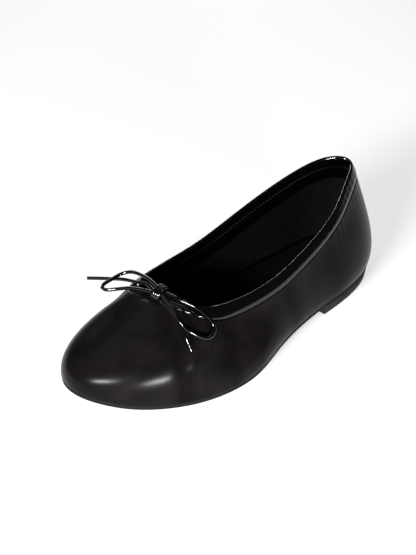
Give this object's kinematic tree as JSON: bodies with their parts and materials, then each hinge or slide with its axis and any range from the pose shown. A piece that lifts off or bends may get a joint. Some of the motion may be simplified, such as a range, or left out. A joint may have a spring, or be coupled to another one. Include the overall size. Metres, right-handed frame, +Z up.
{
  "type": "ballet flat",
  "caption": "Left ballet flat with a hollow round-toe upper, wide foot opening, bound topline with a cord bow, insole, thin outsole with toe spring and a low flat heel.",
  "frame": {"origin": "on the floor, under the middle of the heel block", "axes": "+X to the toe, +Y to the outer (little toe) side of this left shoe, +Z up"},
  "size_m": [0.2437, 0.0986, 0.0715],
  "materials": {
    "leather": "soft black nappa leather with a low sheen",
    "patent": "black patent, high gloss",
    "footbed": "matt black sock",
    "sole": "matt dark grey, fine grain",
    "heel_block": "matt dark grey",
    "bow_cord": "black patent cord, high gloss"
  },
  "bodies": {
    "root": {"upper": "leather", "topline_binding": "patent", "insole": "footbed", "outsole": "sole", "heel": "heel_block", "bow_knot": "bow_cord", "bow_loop_outer": "bow_cord", "bow_loop_inner": "bow_cord", "bow_end_outer": "bow_cord", "bow_end_inner": "bow_cord"}
  },
  "joints": []
}
